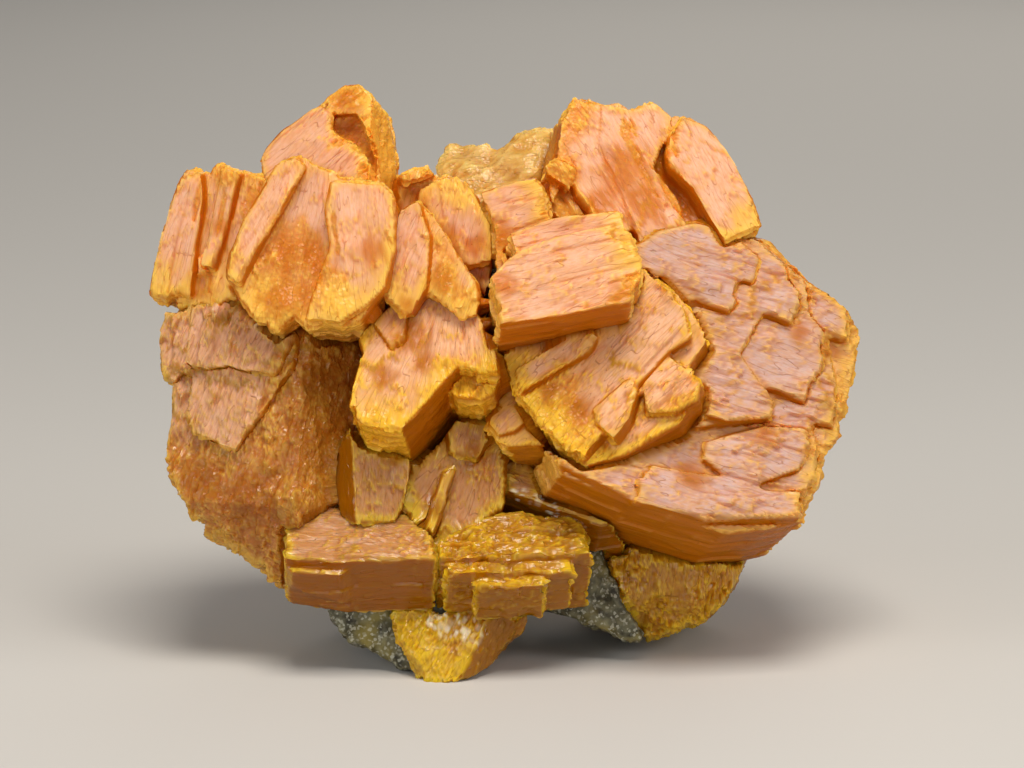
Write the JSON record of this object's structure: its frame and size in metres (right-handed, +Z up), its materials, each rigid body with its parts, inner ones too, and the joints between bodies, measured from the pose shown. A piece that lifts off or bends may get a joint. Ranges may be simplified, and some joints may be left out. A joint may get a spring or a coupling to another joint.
{
  "type": "wulfenite mineral specimen",
  "caption": "Free-standing wulfenite cluster: thick tabular peach and amber crystals with stepped, fibrous plate edges on a small grey-green matrix rock.",
  "frame": {"origin": "on the resting plane, under the middle of the specimen's bounding box", "axes": "+Z up, +X to the right as a viewer of the display face sees it, -Y towards that viewer"},
  "size_m": [0.0705, 0.0401, 0.0566],
  "materials": {
    "peach_crystal": "resinous, with a pale matte bloom on the flat faces and yellow translucent plate ends",
    "amber_crystal": "resinous and translucent, smooth amber walls, fibrous orange faces",
    "honey_crystal": "resinous brown amber, with small bright glints",
    "rock": "dull grey-green rock with sparkling grains"
  },
  "bodies": {
    "root": {"centre_block_crystal": "peach_crystal", "wedge_crystal": "peach_crystal", "left_fan_crystal": "peach_crystal", "peak_crystal": "peach_crystal", "crest_crystal": "peach_crystal", "shelf_crystal": "peach_crystal", "upper_right_crystal": "peach_crystal", "right_book_crystal": "peach_crystal", "left_tower_crystal": "peach_crystal", "left_body_crystal": "peach_crystal", "back_right_crystal": "peach_crystal", "back_crest_crystal": "peach_crystal", "back_left_crystal": "peach_crystal", "centre_wedge_crystal": "amber_crystal", "column_crystal": "amber_crystal", "small_amber_crystal": "amber_crystal", "left_foot_crystal": "amber_crystal", "back_middle_crystal": "amber_crystal", "back_top_crystal": "honey_crystal", "right_bar_crystal": "honey_crystal", "left_bar_crystal": "honey_crystal", "lower_prism_crystal": "honey_crystal", "lower_fan_crystal": "honey_crystal", "lower_shelf_crystal": "honey_crystal", "right_foot_crystal": "honey_crystal", "back_low_crystal": "honey_crystal", "matrix": "rock"}
  },
  "joints": []
}
